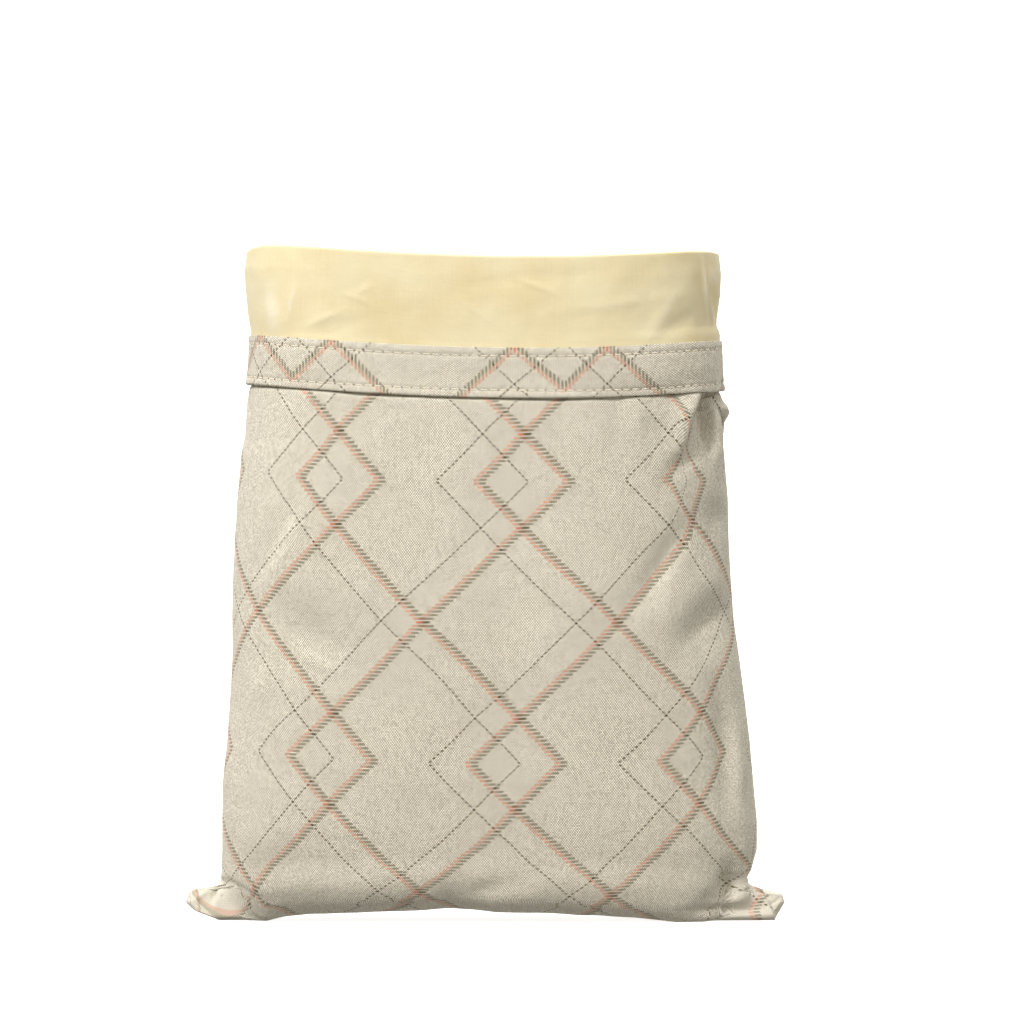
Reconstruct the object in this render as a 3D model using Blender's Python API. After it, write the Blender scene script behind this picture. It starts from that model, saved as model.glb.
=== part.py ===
"""A linen bread bag standing on its base, its mouth turned outwards as a cuff.

Six pieces of cloth: front and back of the outer linen bag, of its lining, and of the casing band that
finishes the mouth. Front and back meet at side seams and a bottom seam in the plane Y = 0, and the corners
of the bottom seam stand out as two flat ears. X is across the bag, the front faces -Y, and Z is up.

Every sheet lies on one skin, the outer face of the linen. A point of the skin has a place across, from -1 at
the left side seam to 1 at the right one, and a level, which is the height of its row at the side seam. A
sheet follows a path of (level, offset) pairs, the offset being its distance out from the skin.
"""

from collections import namedtuple

import bpy
import numpy as np

MM = 0.001  # every size below is in millimetres

LINEN = 1.1  # thickness of the printed linen
LINING = 1.0  # thickness of the coated lining
CASING = 1.0  # thickness of the casing band
GAP = 0.3  # air between two layers that touch
SEAM = 0.15  # each panel stops this far short of the seam plane
FOLD_RADIUS = 0.78  # of the linen where it turns over at the rim

BASE_ROUND = 26.0  # height of the rounding between the base and the walls
BASE_SQUARENESS = 4.0  # exponent of that rounding: 2 is an ellipse, more is boxier
BASE_SINK = 1.4  # how much of the rounding is pressed flat on the table
PLAN_SQUARENESS = 3.0  # exponent of the rounding between the front and the sides

MOUTH_TURN = 314.2  # level of the centre of the roll at the rim
CASING_TOP = 273.0
CUFF_END = 249.6
CUFF_LEVELS = (296.0, 283.0, CASING_TOP, 262.0)  # rows between the rim and the cuff's end
LINING_CLEARANCE = 1.7  # extra air behind the linen below the mouth, where the lining hangs freely
LINING_CORNER = 17.0  # its bottom corners stop this far short of the body's, and close in above them
LINING_CORNER_ENDS = 38.0  # level at which the lining is as wide as the body

# Across the bag the cuff sags from both sides to a lowest point, more steeply on the right.
SAG_LOWEST_X = 24.0
SAG_SPAN = 137.0
SAG_LEFT = 7.4
SAG_RIGHT = 11.0
SAG_STARTS = 40.0  # level under which the rows are straight
SAG_WHOLE = 240.0  # level from which they have the whole sag

EAR_ROOT = 122.0  # distance from the middle at which an ear leaves the body
EAR_BODY = 125.5  # half-width of the body between the ears
EAR_TOP = 20.0  # level of the neck above the ears
EAR_THICK_ROOT = 4.6  # half thickness at the root
EAR_THICK_TIP = 2.0
EAR_EDGE = 3.0  # width of the rounded edge
EAR_REACH = 22.0  # from the root to the tip
SIDE_STRAIGHT = 9.0  # width at each side of the body over which its base rows climb to their level

RIM_CORNER_LEFT = 3.8  # drop of the rim's two corners at the side seams
RIM_CORNER_RIGHT = 1.6

Level = namedtuple("Level", "level left right depth")

# The outline of the linen at its side seams and its half depth, from the bottom seam to the cuff's end.
BODY_LEVELS = [
    Level(level=0.0, left=-127.2, right=138.7, depth=34.0),
    Level(level=1.5, left=-132.0, right=139.3, depth=34.0),
    Level(level=4.5, left=-140.0, right=141.1, depth=34.0),
    Level(level=8.5, left=-144.2, right=143.4, depth=34.0),
    Level(level=12.5, left=-142.8, right=142.3, depth=34.2),
    Level(level=14.2, left=-141.6, right=135.8, depth=34.4),
    Level(level=15.8, left=-138.0, right=128.8, depth=34.6),
    Level(level=17.3, left=-128.6, right=126.2, depth=34.8),
    Level(level=20.0, left=-127.3, right=124.8, depth=35.2),
    Level(level=24.0, left=-126.9, right=127.4, depth=36.0),
    Level(level=34.0, left=-126.7, right=130.1, depth=37.5),
    Level(level=48.0, left=-126.7, right=130.1, depth=39.5),
    Level(level=67.0, left=-126.2, right=128.3, depth=41.5),
    Level(level=85.0, left=-124.3, right=126.7, depth=43.0),
    Level(level=104.0, left=-122.9, right=124.3, depth=44.5),
    Level(level=122.0, left=-121.6, right=121.9, depth=46.0),
    Level(level=141.0, left=-121.9, right=119.0, depth=47.5),
    Level(level=160.0, left=-121.4, right=117.6, depth=48.5),
    Level(level=178.0, left=-120.5, right=116.6, depth=49.0),
    Level(level=197.0, left=-119.0, right=116.2, depth=49.5),
    Level(level=215.0, left=-117.6, right=114.7, depth=50.0),
    Level(level=224.0, left=-115.7, right=113.8, depth=50.0),
    Level(level=241.0, left=-114.8, right=115.2, depth=50.0),
    Level(level=245.0, left=-113.4, right=113.2, depth=48.9),
    Level(level=248.5, left=-110.4, right=110.0, depth=46.6),
]

# The neck inside the cuff, which hangs straight below its lowest row.
NECK_LEVELS = [
    Level(level=262.0, left=-110.0, right=109.8, depth=46.6),
    Level(level=273.0, left=-108.9, right=109.2, depth=46.8),
    Level(level=283.0, left=-111.0, right=107.8, depth=47.0),
    Level(level=296.0, left=-112.4, right=109.5, depth=47.2),
    Level(level=306.0, left=-112.8, right=109.8, depth=47.2),
    Level(level=316.0, left=-111.6, right=108.8, depth=47.0),
]

Lift = namedtuple("Lift", "x seam front back")

# How far the base stands off the table at its seam and at its front and back edges: the bag rests on its
# corners and arches between them.
LIFTS = [
    Lift(x=-124.0, seam=0.0, front=0.3, back=0.0),
    Lift(x=-115.0, seam=0.0, front=1.4, back=0.0),
    Lift(x=-105.0, seam=0.0, front=3.0, back=0.0),
    Lift(x=-96.0, seam=2.2, front=4.6, back=1.0),
    Lift(x=-83.0, seam=3.6, front=5.4, back=2.2),
    Lift(x=-63.0, seam=4.2, front=5.4, back=3.0),
    Lift(x=-40.0, seam=4.8, front=6.8, back=3.8),
    Lift(x=-17.0, seam=6.4, front=8.8, back=5.2),
    Lift(x=6.0, seam=4.6, front=5.9, back=3.8),
    Lift(x=40.0, seam=3.6, front=4.8, back=2.8),
    Lift(x=72.0, seam=1.8, front=2.6, back=1.2),
    Lift(x=91.0, seam=0.0, front=0.0, back=0.0),
]
LIFT_FADES = 80.0  # level at which the lift has died out

Fold = namedtuple("Fold", "x height lean length width rise")

# Each fold is a soft ridge, or a trough where its rise is negative. Lean turns its top towards +X, in
# degrees from upright, and length and width run from its middle to where it has mostly died out.
FRONT_FOLDS = [
    Fold(x=106.5, height=243.0, lean=6.0, length=17.0, width=4.2, rise=-4.2),  # pleat under the cuff, right
    Fold(x=94.0, height=221.0, lean=38.0, length=15.0, width=5.0, rise=-2.2),  # the pleat running out
    Fold(x=95.5, height=240.0, lean=18.0, length=17.0, width=6.0, rise=1.6),  # the flap over the pleat
    Fold(x=107.5, height=189.0, lean=10.0, length=13.0, width=8.0, rise=-1.6),
    Fold(x=106.0, height=147.5, lean=50.0, length=13.0, width=6.0, rise=-2.8),  # dimple above the widening
    Fold(x=88.0, height=147.0, lean=0.0, length=12.0, width=9.0, rise=1.4),
    Fold(x=-80.0, height=128.0, lean=-52.0, length=30.0, width=12.0, rise=-1.6),  # broad hollow, left
    Fold(x=-98.0, height=176.0, lean=-12.0, length=30.0, width=11.0, rise=1.2),
    Fold(x=-30.0, height=95.0, lean=12.0, length=45.0, width=22.0, rise=1.3),
    Fold(x=42.0, height=130.0, lean=-8.0, length=55.0, width=20.0, rise=1.2),
    Fold(x=14.0, height=165.0, lean=4.0, length=60.0, width=14.0, rise=-1.0),  # between the two fillings
    Fold(x=110.0, height=13.0, lean=48.0, length=14.0, width=5.0, rise=-2.4),  # crease from the right ear
    Fold(x=-112.0, height=14.0, lean=-50.0, length=13.0, width=5.0, rise=-2.0),  # crease from the left ear
    Fold(x=-14.0, height=14.0, lean=20.0, length=14.0, width=9.0, rise=-1.4),
    Fold(x=103.0, height=298.0, lean=-4.0, length=22.0, width=3.6, rise=-1.3),  # folds in the cuff
    Fold(x=-101.0, height=300.0, lean=5.0, length=22.0, width=5.0, rise=-1.1),
]
BACK_FOLDS = [
    Fold(x=-104.0, height=238.0, lean=-8.0, length=19.0, width=5.0, rise=-3.4),
    Fold(x=-90.0, height=218.0, lean=-34.0, length=16.0, width=6.0, rise=-1.8),
    Fold(x=-94.0, height=150.0, lean=-46.0, length=20.0, width=8.0, rise=-2.2),
    Fold(x=98.0, height=168.0, lean=20.0, length=26.0, width=9.0, rise=-1.8),
    Fold(x=70.0, height=100.0, lean=48.0, length=30.0, width=12.0, rise=-1.6),
    Fold(x=-8.0, height=150.0, lean=-4.0, length=70.0, width=14.0, rise=-1.2),
    Fold(x=40.0, height=120.0, lean=6.0, length=55.0, width=22.0, rise=1.3),
    Fold(x=-48.0, height=110.0, lean=-10.0, length=50.0, width=20.0, rise=1.2),
    Fold(x=108.0, height=14.0, lean=48.0, length=14.0, width=6.0, rise=-2.0),
    Fold(x=-110.0, height=14.0, lean=-48.0, length=14.0, width=6.0, rise=-2.0),
]

# Distances from a side seam, measured along the cloth, at which the grid has a column.
HALF_GIRTH = 145.0
COLUMNS_FROM_SEAM = (0.0, 3.0, 7.0, 12.0, 18.5, 26.0, 34.0, 43.0, 53.0, 65.0, 80.0, 99.0, 121.0, 145.0)

# Levels of the rows of the linen, from the bottom seam up to the roll.
LINEN_ROWS = (
    0.0, 1.5, 4.5, 8.5, 12.5, 14.2, 15.8, 17.3, 20.0, 24.0, 32.0,
    45.0, 61.0, 78.0, 96.0, 112.0, 124.0, 135.0, 145.0, 156.0, 170.0, 184.0, 198.0,
    210.0, 220.0, 230.0, 240.0, 245.0, 248.5, 262.0, 273.0, 283.0, 296.0,
)
LINING_ROWS = (
    0.0, 5.0, 12.0, 20.0, 32.0, 60.0, 90.0, 120.0, 143.0, 172.0, 204.0, 224.0, 240.0, 248.5,
    262.0, 273.0, 283.0, 296.0,
)

PROFILE_STEPS = 361  # points along a row before its columns are picked
PROBE = 0.4  # step for measuring the skin's slope
PRESSED_FLAT = 0.15  # cloth this near the table lies on it
TINY = 1e-9

LINEN_FINISH = {"colour": (0.62, 0.56, 0.45, 1.0), "roughness": 0.9}
LINING_FINISH = {"colour": (0.83, 0.68, 0.38, 1.0), "roughness": 0.55}


def column(table, level, name):
    """One column of a table of levels, read at a level."""
    return np.interp(level, [row.level for row in table], [getattr(row, name) for row in table])


def smooth(value):
    """0 below 0, 1 above 1, and a soft S between."""
    t = np.clip(value, 0.0, 1.0)
    return t * t * (3.0 - 2.0 * t)


def sag(x):
    """Rise of a cuff row above its lowest point, steeper on the right."""
    steepness = np.where(x < SAG_LOWEST_X, SAG_LEFT, SAG_RIGHT)
    return steepness * ((x - SAG_LOWEST_X) / SAG_SPAN) ** 2


def lift_at(x, name):
    """How far one line of the base stands off the table: its seam, or its front or back edge."""
    return np.interp(x, [row.x for row in LIFTS], [getattr(row, name) for row in LIFTS])


def fold_rise(folds, x, height):
    """The folds' rises added up: each is a bell across its width and along its length."""
    total = np.zeros_like(x)
    for fold in folds:
        lean = np.radians(fold.lean)
        along = (x - fold.x) * np.sin(lean) + (height - fold.height) * np.cos(lean)
        across = (x - fold.x) * np.cos(lean) - (height - fold.height) * np.sin(lean)
        total += fold.rise * np.exp(-((along / fold.length) ** 2) - (across / fold.width) ** 2)
    return total


def row_points(level, table, folds, side, places, ears):
    """The skin's points on one row, at the given places across: X, distance out from the seam plane, and Z.

    The row is half a rounded rectangle in plan, and below the neck a flat ear goes on past each end of it.
    """
    left, right = column(table, level, "left"), column(table, level, "right")
    body_left, body_right = (-EAR_BODY, EAR_BODY) if level < EAR_TOP else (left, right)
    if not ears:
        inset = LINING_CORNER * (1 - smooth(level / LINING_CORNER_ENDS))
        left, right = body_left, body_right = body_left + inset, body_right - inset
    turn = np.linspace(-np.pi / 2, np.pi / 2, PROFILE_STEPS)
    x = (left + right) / 2 + (right - left) / 2 * np.sin(turn)

    climb = np.clip(level / BASE_ROUND, 0.0, 1.0) * np.pi / 2
    out = np.sin(climb) ** (2 / BASE_SQUARENESS)
    body_height = BASE_ROUND * (1 - np.cos(climb) ** (2 / BASE_SQUARENESS)) if level < BASE_ROUND else level
    middle, half = (body_left + body_right) / 2, (body_right - body_left) / 2
    share = np.clip(np.abs(x - middle) / half, 0.0, 1.0)
    depth = column(table, level, "depth") * out * np.sqrt(1 - share**PLAN_SQUARENESS)

    pressed = max(body_height - BASE_SINK * (1 - smooth(level / BASE_ROUND)), 0.0)
    at_side = smooth((np.abs(x - middle) - half + SIDE_STRAIGHT) / (SIDE_STRAIGHT - 2.5))
    height = pressed + (level - pressed) * at_side
    if ears and level < EAR_TOP:
        past_root = np.clip((np.abs(x) - EAR_ROOT) / EAR_REACH, 0.0, 1.0)
        thickness = EAR_THICK_ROOT + (EAR_THICK_TIP - EAR_THICK_ROOT) * past_root
        to_edge = np.minimum(np.minimum(right - x, x - left), level)
        rounding = np.sqrt(1 - (1 - np.clip(to_edge / EAR_EDGE, 0.0, 1.0)) ** 2)
        depth = np.maximum(depth, thickness * rounding * smooth((EAR_TOP - level) / 4.0))

    outward = smooth((out - 0.3) / 0.55)
    lift = lift_at(x, "seam") * (1 - outward) + lift_at(x, side) * outward
    height += lift * (1 - smooth(level / LIFT_FADES))
    height += sag(x) * smooth((level - SAG_STARTS) / (SAG_WHOLE - SAG_STARTS))
    corner = np.where(x < middle, RIM_CORNER_LEFT, RIM_CORNER_RIGHT) * share**20
    height -= corner * smooth((level - 290.0) / 30.0)
    depth = depth + fold_rise(folds, x, height) * smooth((depth - 2.0) / 16.0)

    length = np.concatenate([[0.0], np.cumsum(np.hypot(np.diff(x), np.diff(depth)))])
    wanted = (places + 1) / 2 * length[-1]
    return np.stack([np.interp(wanted, length, value) for value in (x, depth, height)], axis=-1)


def skin(levels, tables, folds, side, places, ears):
    """The skin's points on a grid, a row for each level."""
    rows = [row_points(v, table, folds, side, places, ears) for v, table in zip(levels, tables)]
    return np.array(rows)


def mirrored_ends(points):
    """The grid with a ghost column past each side seam: its neighbour seen in the seam plane."""
    mirror = np.array([1.0, -1.0, 1.0])
    return np.concatenate([points[:, 1:2] * mirror, points, points[:, -2:-1] * mirror], axis=1)


def unit_normals(points, bottom_seam):
    """Unit normals of a grid of (X, out, Z) points, pointing out of the bag where the rows go up."""
    wide = mirrored_ends(points)
    across = wide[:, 2:] - wide[:, :-2]
    if bottom_seam:
        below = points[1:2] * np.array([1.0, -1.0, 1.0])
    else:
        below = 2 * points[:1] - points[1:2]
    above = 2 * points[-1:] - points[-2:-1]
    tall = np.concatenate([below, points, above], axis=0)
    up = tall[2:] - tall[:-2]
    normal = np.cross(up, across)
    if bottom_seam:
        # At a bottom corner both seams end, so its normal is the mean of those beside it.
        normal /= np.maximum(np.linalg.norm(normal, axis=-1, keepdims=True), TINY)
        normal[0, 0] = normal[0, 1] + normal[1, 0]
        normal[0, -1] = normal[0, -2] + normal[1, -1]
    return normal / np.linalg.norm(normal, axis=-1, keepdims=True)


def skin_normals(levels, tables, folds, side, places, ears):
    """The skin's own unit normals, measured with a small step up and down each row."""
    normals = []
    for level, table in zip(levels, tables):
        if level == 0.0:
            normals.append(np.tile([0.0, 0.0, -1.0], (len(places), 1)))
            continue
        low, high = max(level - PROBE, 0.0), level + PROBE
        pair = [row_points(v, table, folds, side, places, ears) for v in (low, high)]
        row = row_points(level, table, folds, side, places, ears)[None]
        wide = mirrored_ends(row)
        across = (wide[:, 2:] - wide[:, :-2])[0]
        up = pair[1] - pair[0]
        up[[0, -1], 1] = 0.0
        normal = np.cross(up, across)
        normals.append(normal / np.linalg.norm(normal, axis=-1, keepdims=True))
    return np.array(normals)


def sheet(name, path, thickness, folds, side, finish, ears=True, bottom_seam=True):
    """One cloth panel as a closed body: the path carried across the bag, then given its thickness."""
    seam_side = np.array(COLUMNS_FROM_SEAM) / HALF_GIRTH - 1
    places = np.concatenate([seam_side, -seam_side[-2::-1]])
    levels = [level for level, _, _ in path]
    tables = [table for _, _, table in path]
    offsets = np.array([offset for _, offset, _ in path])[:, None, None]
    middle = skin(levels, tables, folds, side, places, ears)
    middle = middle + offsets * skin_normals(levels, tables, folds, side, places, ears)
    middle[:, [0, -1], 1] = 0.0
    if bottom_seam:
        middle[0, :, 1] = 0.0
    half = unit_normals(middle, bottom_seam) * thickness / 2
    outer, inner = middle + half, middle - half
    facing = -1 if side == "front" else 1
    for grid in (outer, inner):
        grid[..., 1] = facing * (np.maximum(grid[..., 1], 0.0) + SEAM)
        grid[..., 2] = np.where(grid[..., 2] < PRESSED_FLAT, 0.0, grid[..., 2])
    build_sheet(name, outer, inner, side == "back", finish)


def build_sheet(name, outer, inner, flip, finish):
    """Joins two grids of the same shape into a closed mesh, with a strip along each of the four edges."""
    rows, columns = outer.shape[:2]
    index = np.arange(rows * columns).reshape(rows, columns)
    inside = index + rows * columns

    def quads(a, b, c, d):
        return np.stack([a.ravel(), b.ravel(), c.ravel(), d.ravel()], axis=-1)

    faces = [
        quads(index[:-1, :-1], index[:-1, 1:], index[1:, 1:], index[1:, :-1]),
        quads(inside[:-1, :-1], inside[1:, :-1], inside[1:, 1:], inside[:-1, 1:]),
        quads(index[0, :-1], inside[0, :-1], inside[0, 1:], index[0, 1:]),
        quads(index[-1, :-1], index[-1, 1:], inside[-1, 1:], inside[-1, :-1]),
        quads(index[:-1, 0], index[1:, 0], inside[1:, 0], inside[:-1, 0]),
        quads(index[:-1, -1], inside[:-1, -1], inside[1:, -1], index[1:, -1]),
    ]
    faces = np.concatenate(faces)
    if flip:
        faces = faces[:, ::-1]
    points = np.concatenate([outer.reshape(-1, 3), inner.reshape(-1, 3)]) * MM
    mesh = bpy.data.meshes.new(name)
    mesh.from_pydata(points.tolist(), [], faces.tolist())
    mesh.materials.append(cloth_material(name, finish))
    mesh.shade_smooth()
    mesh.set_sharp_from_angle(angle=np.radians(50))
    bpy.context.scene.collection.objects.link(bpy.data.objects.new(name, mesh))


def cloth_material(name, finish):
    material = bpy.data.materials.new(name)
    material.use_nodes = True
    shader = material.node_tree.nodes["Principled BSDF"]
    shader.inputs["Base Color"].default_value = finish["colour"]
    shader.inputs["Roughness"].default_value = finish["roughness"]
    shader.inputs["Metallic"].default_value = 0.0
    return material


def rising(levels, offset):
    """The path's part inside the cuff's end: body rows, then the neck."""
    return [(v, offset, BODY_LEVELS + NECK_LEVELS) for v in levels]


def roll(centre, radius, degrees):
    """The path's half turn over the rim."""
    return [
        (MOUTH_TURN + radius * np.sin(np.radians(a)), centre - radius * np.cos(np.radians(a)), NECK_LEVELS)
        for a in degrees
    ]


def falling(levels, offset):
    """The path's part that hangs outside, as the cuff."""
    return [(v, offset, NECK_LEVELS) for v in levels]


def build_bag():
    turn_centre = FOLD_RADIUS - LINEN / 2
    lining_radius = FOLD_RADIUS + LINEN / 2 + GAP + LINING / 2
    lining_inside = turn_centre - lining_radius
    lining_outside = turn_centre + lining_radius
    casing_offset = lining_outside + LINING / 2 + GAP + CASING / 2
    hanging = [row for row in LINING_ROWS if row < CUFF_END]
    upright = [row for row in LINING_ROWS if row > CUFF_END]

    linen_path = (
        rising(LINEN_ROWS, -LINEN / 2)
        + roll(turn_centre, FOLD_RADIUS, (0, 60, 120, 180))
        + falling(CUFF_LEVELS + (CUFF_END,), turn_centre + FOLD_RADIUS)
    )
    lining_path = (
        rising(hanging, lining_inside - LINING_CLEARANCE)
        + rising(upright, lining_inside)
        + roll(turn_centre, lining_radius, (0, 45, 90, 135, 180))
        + falling(CUFF_LEVELS + (CUFF_END,), lining_outside)
    )
    casing_path = falling(CUFF_LEVELS[2:] + (CUFF_END,), casing_offset)

    for side, folds in (("front", FRONT_FOLDS), ("back", BACK_FOLDS)):
        sheet(f"linen_{side}", linen_path, LINEN, folds, side, LINEN_FINISH)
        sheet(f"lining_{side}", lining_path, LINING, folds, side, LINING_FINISH, ears=False)
        sheet(f"casing_{side}", casing_path, CASING, folds, side, LINEN_FINISH, bottom_seam=False)


for leftover in list(bpy.data.objects):
    bpy.data.objects.remove(leftover, do_unlink=True)
build_bag()
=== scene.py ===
"""A linen bread bag standing on its base, its mouth turned outwards so that the waxed lining shows as a cuff.

Six pieces of cloth, each a thin closed sheet: front and back of the printed linen, of the lining, and of the
casing band sewn to the lining's edge. Two rows of topstitching hold each band. Sizes are in millimetres, but
for those of the print, the materials, the flat cuts and the studio, which are in metres. X is across the
bag, the front faces -Y, and Z is up.
"""

from collections import namedtuple

import bpy
import numpy as np
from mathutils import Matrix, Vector


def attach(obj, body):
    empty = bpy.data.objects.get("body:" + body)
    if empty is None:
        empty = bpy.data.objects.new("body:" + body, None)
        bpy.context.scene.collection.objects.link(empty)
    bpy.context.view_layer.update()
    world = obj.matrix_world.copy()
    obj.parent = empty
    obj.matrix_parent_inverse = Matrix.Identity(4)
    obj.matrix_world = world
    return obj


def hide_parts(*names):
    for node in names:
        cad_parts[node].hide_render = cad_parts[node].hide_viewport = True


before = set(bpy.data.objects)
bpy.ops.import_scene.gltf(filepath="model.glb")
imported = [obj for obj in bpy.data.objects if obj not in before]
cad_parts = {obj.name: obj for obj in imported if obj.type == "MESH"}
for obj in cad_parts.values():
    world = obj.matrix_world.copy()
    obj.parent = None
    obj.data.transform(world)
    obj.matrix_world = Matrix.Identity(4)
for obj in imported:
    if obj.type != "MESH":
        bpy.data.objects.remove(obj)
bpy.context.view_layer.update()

MM = 0.001

# ---------------------------------------------------------------------------------------------------------
# The camera: a long lens level with the middle of the bag, square to its front.

CAMERA_AT = (12.5, -3000.0, 195.84)
CAMERA_LENS = 219.7  # mm, on a 36 mm sensor


def add_object(name, data):
    """An object in the scene that holds this camera, mesh or light."""
    made = bpy.data.objects.new(name, data)
    bpy.context.scene.collection.objects.link(made)
    return made


camera_data = bpy.data.cameras.new("camera")
camera_data.sensor_width = 36.0
camera_data.lens = CAMERA_LENS
camera_data.clip_start = 0.1
camera_data.clip_end = 100.0
camera = add_object("camera", camera_data)
camera.location = [v * MM for v in CAMERA_AT]
camera.rotation_euler = (np.pi / 2, 0.0, 0.0)
bpy.context.scene.camera = camera

# ---------------------------------------------------------------------------------------------------------
# The printed linen: two panels of plain-woven linen, joined at side seams and a bottom seam. The filled bag
# has drawn its bottom corners out into flat ears. Above the rim each panel turns over and hangs inside the
# cuff. Every sheet of the bag lies on one skin, the outer face of this linen.

LINEN_THICK = 0.5
TURNED_CENTRE = 0.08  # of the linen's roll at the rim, out from the skin
TURNED_RADIUS = 0.33
PANEL_COLUMNS = 201  # across one panel
SEAM_AIR = 0.01  # each panel stops this far short of the seam plane
FACING = {"front": -1.0, "back": 1.0}  # the way that each side lies from the seam plane

BASE_ROUND = 26.0  # height of the rounding between the base and the walls
BASE_SQUARENESS = 4.0
BASE_SINK = 1.4  # how much of the rounding is pressed flat on the table
PLAN_SQUARENESS_LEFT = 5.0  # exponents of the rounding between the front and the sides
PLAN_SQUARENESS_RIGHT = 2.8
PLAN_SQUARENESS_LOW = 2.3  # near the base, where the body runs out into the ears
LOW_ENDS, LOW_FADES = 6.0, 40.0
CUFF_SQUARER = 0.7  # the cuff's two layers round off less
CUFF_STARTS, CUFF_FADES = 249.0, 12.0

RIM_LEVEL = 315.7  # level of the centre of the roll at the rim
CUFF_END = 249.6
CASING_TOP = 273.4

SAG_LOWEST_X = 24.0  # the cuff sags from both sides to a lowest point, more steeply on the right
SAG_SPAN = 137.0
SAG_LEFT = 7.4
SAG_RIGHT = 11.0
SAG_STARTS = 40.0
SAG_WHOLE = 240.0

EAR_ROOT = 122.0  # distance from the middle at which an ear leaves the body
EAR_BODY = 125.5  # half-width of the body between the ears
EAR_TOP = 20.0  # level of the neck above the ears
EAR_NECK = 4.0  # height over which an ear dies out there
EAR_THICK_ROOT = 6.2  # half thickness at the root
EAR_THICK_TIP = 2.6
EAR_FULL_LOW, EAR_THINS = 1.45, 1.1  # shares of it at the base, and lost on the way up
EAR_LIES_BACK = 15.0  # it thins towards this level, so that its face lies back
EAR_EDGE = 3.0  # width of the rounded edge
EAR_FILLET = 5.0  # softness of the hollow between the body and an ear
EAR_REACH = 22.0  # from the root to the tip
SIDE_STRAIGHT = 22.0  # width at each side where the base's rounding turns into the side seam
SEAM_WIDE = 2.5  # the part of it that is wholly upright

RIM_CORNER_LEFT = 3.8  # drop of the rim's two corners at the side seams
RIM_CORNER_RIGHT = 1.6
RIM_CORNER_STARTS, RIM_CORNER_FADES = 290.0, 30.0


def table(kind, *rows):
    """Rows of plain numbers under the names of this kind of row."""
    return [kind(*row) for row in rows]


# The ends of the bag across, and its half depth, at each level.
Outline = namedtuple("Outline", "level left right depth")
OUTLINES = table(
    Outline,
    (0, -127.2, 138.7, 34),
    (1.5, -132, 139.3, 34),
    (4.5, -140, 141.1, 34),
    (8.5, -144.2, 143.4, 34),
    (12.5, -142.8, 142.3, 34.2),
    (14.2, -141.4, 135.8, 34.4),
    (15.2, -137, 131, 34.5),
    (16.2, -128.6, 127.9, 34.6),
    (17.3, -128.2, 126.2, 34.8),
    (20, -127.3, 124.8, 35.2),
    (24, -126.9, 127.4, 36),
    (34, -126.7, 130.1, 37.5),
    (48, -126.7, 130.1, 39.5),
    (67, -126.2, 128.3, 41.5),
    (85, -124.3, 126.7, 43),
    (104, -122.9, 124.3, 44.5),
    (122, -121.6, 121.9, 46),
    (141, -121.9, 119, 47.5),
    (160, -121.4, 117.6, 48.5),
    (178, -120.5, 116.6, 49),
    (197, -119, 116.2, 49.5),
    (215, -117.6, 114.7, 50),
    (224, -115.7, 113.8, 50),
    (241, -114.6, 114.9, 50.2),
    (247.2, -113.6, 112.8, 50.2),
    (248.4, -113.2, 112.2, 49.7),
    (249.2, -112.2, 111.6, 48),
    (249.6, -112, 111.6, 47.8),
    (262, -111.6, 111.4, 47.9),
    (273, -111.2, 110.9, 48),
    (276.5, -111.5, 110.9, 48),
    (280.5, -112.3, 109.3, 48),
    (284, -112.8, 109.3, 48.1),
    (296, -113.9, 111, 48.5),
    (306, -114.3, 111.3, 48.6),
    (318, -113.1, 110.3, 48.4),
)

# The arch under the base: at each place across, its height at the seam and under the front and the back.
Lift = namedtuple("Lift", "x seam front back")
LIFTS = table(
    Lift,
    (-124, 0, 0.3, 0),
    (-115, 0, 1.4, 0),
    (-105, 0, 3, 0),
    (-96, 2.2, 4.6, 1),
    (-83, 3.6, 5.4, 2.2),
    (-63, 4.2, 5.4, 3),
    (-40, 4.8, 6.8, 3.8),
    (-17, 6.4, 8.8, 5.2),
    (6, 4.6, 5.9, 3.8),
    (40, 3.6, 4.8, 2.8),
    (72, 1.8, 2.6, 1.2),
    (91, 0, 0, 0),
)
LIFT_FADES = 80.0  # level at which the arch has died out

Fold = namedtuple("Fold", "x height lean length width rise")

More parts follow.
